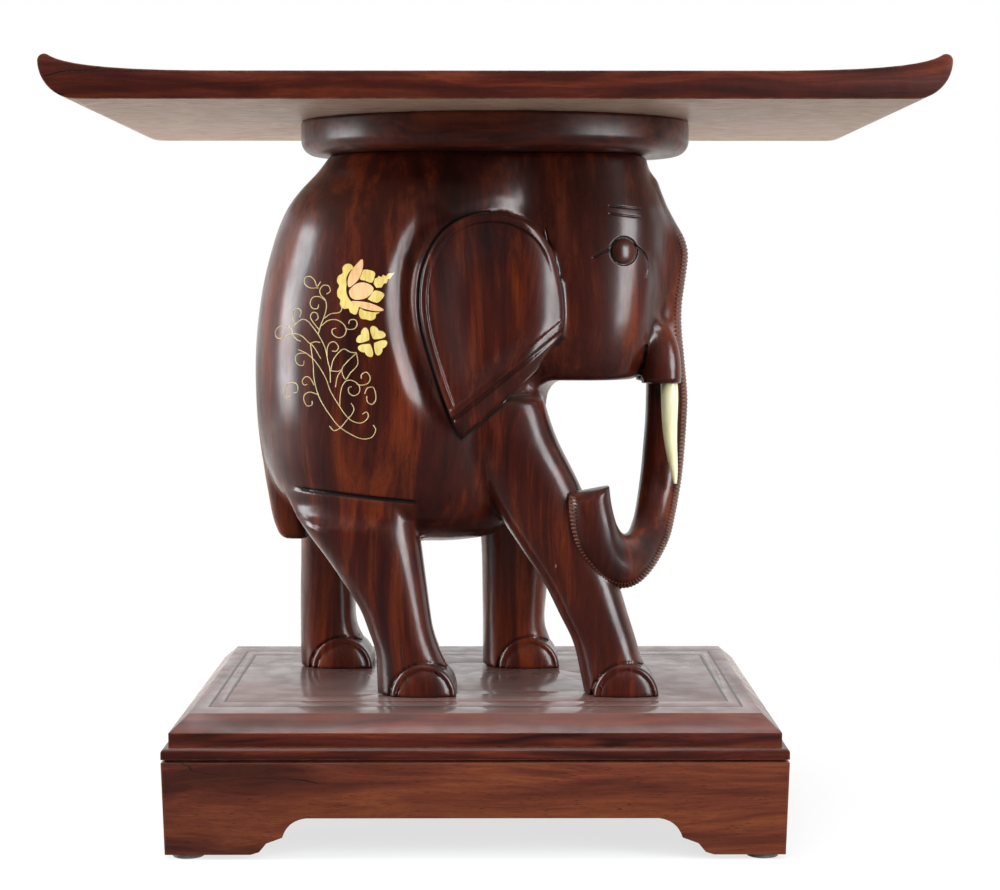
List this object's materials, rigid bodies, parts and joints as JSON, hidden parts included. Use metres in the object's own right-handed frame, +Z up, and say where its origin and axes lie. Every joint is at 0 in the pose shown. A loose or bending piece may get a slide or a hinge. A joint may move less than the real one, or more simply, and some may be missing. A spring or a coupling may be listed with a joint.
{
  "type": "carved animal stool",
  "caption": "Low stool whose long up-swept seat is carried on the back of a carved walking elephant with inlaid flanks, standing on a bracket-footed plinth.",
  "frame": {"origin": "on the floor, under the middle of the seat", "axes": "+Z up; +X the way the elephant walks, along the seat's length; +Y to the elephant's left"},
  "size_m": [0.502, 0.304, 0.4546],
  "materials": {
    "seat_wood": "satin lacquer over dark rosewood, rubbed at the edges",
    "saddle_wood": "satin lacquer over dark rosewood",
    "carved_wood": "polished lacquer over dark rosewood, darker in the cuts",
    "plinth_wood": "polished lacquer over dark rosewood",
    "moulding_wood": "polished lacquer over dark rosewood",
    "apron_wood": "polished lacquer over figured red rosewood",
    "block_wood": "plain sawn softwood",
    "dowel_wood": "plain turned beech",
    "tusk_bone": "polished bone-coloured",
    "yellow_petal": "polished and scraped flush, hair-scratched",
    "peach_petal": "polished and scraped flush",
    "flower_shell": "polished and scraped flush",
    "border_string": "dark stringing, flush under the lacquer",
    "screw_steel": "plain steel",
    "glide_felt": "grey felt"
  },
  "bodies": {
    "root": {"apron_back": "apron_wood", "apron_front": "apron_wood", "apron_left": "apron_wood", "apron_right": "apron_wood", "border_inner_back": "border_string", "border_inner_front": "border_string", "border_inner_left": "border_string", "border_inner_right": "border_string", "border_outer_back": "border_string", "border_outer_front": "border_string", "border_outer_left": "border_string", "border_outer_right": "border_string", "cap_back": "moulding_wood", "cap_front": "moulding_wood", "cap_left": "moulding_wood", "cap_right": "moulding_wood", "cap_screws": "screw_steel", "corner_block_back_left": "block_wood", "corner_block_back_right": "block_wood", "corner_block_front_left": "block_wood", "corner_block_front_right": "block_wood", "elephant_carving": "carved_wood", "foot_screws": "screw_steel", "glide_back_left": "glide_felt", "glide_back_right": "glide_felt", "glide_front_left": "glide_felt", "glide_front_right": "glide_felt", "lotus_heart_petals_left": "peach_petal", "lotus_heart_petals_right": "peach_petal", "lotus_outer_petals_left": "yellow_petal", "lotus_outer_petals_right": "yellow_petal", "plinth_board": "plinth_wood", "saddle_disc": "saddle_wood", "saddle_screws": "screw_steel", "seat_board": "seat_wood", "seat_dowels": "dowel_wood", "small_flower_left": "flower_shell", "small_flower_right": "flower_shell", "tusk_left": "tusk_bone", "tusk_right": "tusk_bone"}
  },
  "joints": []
}
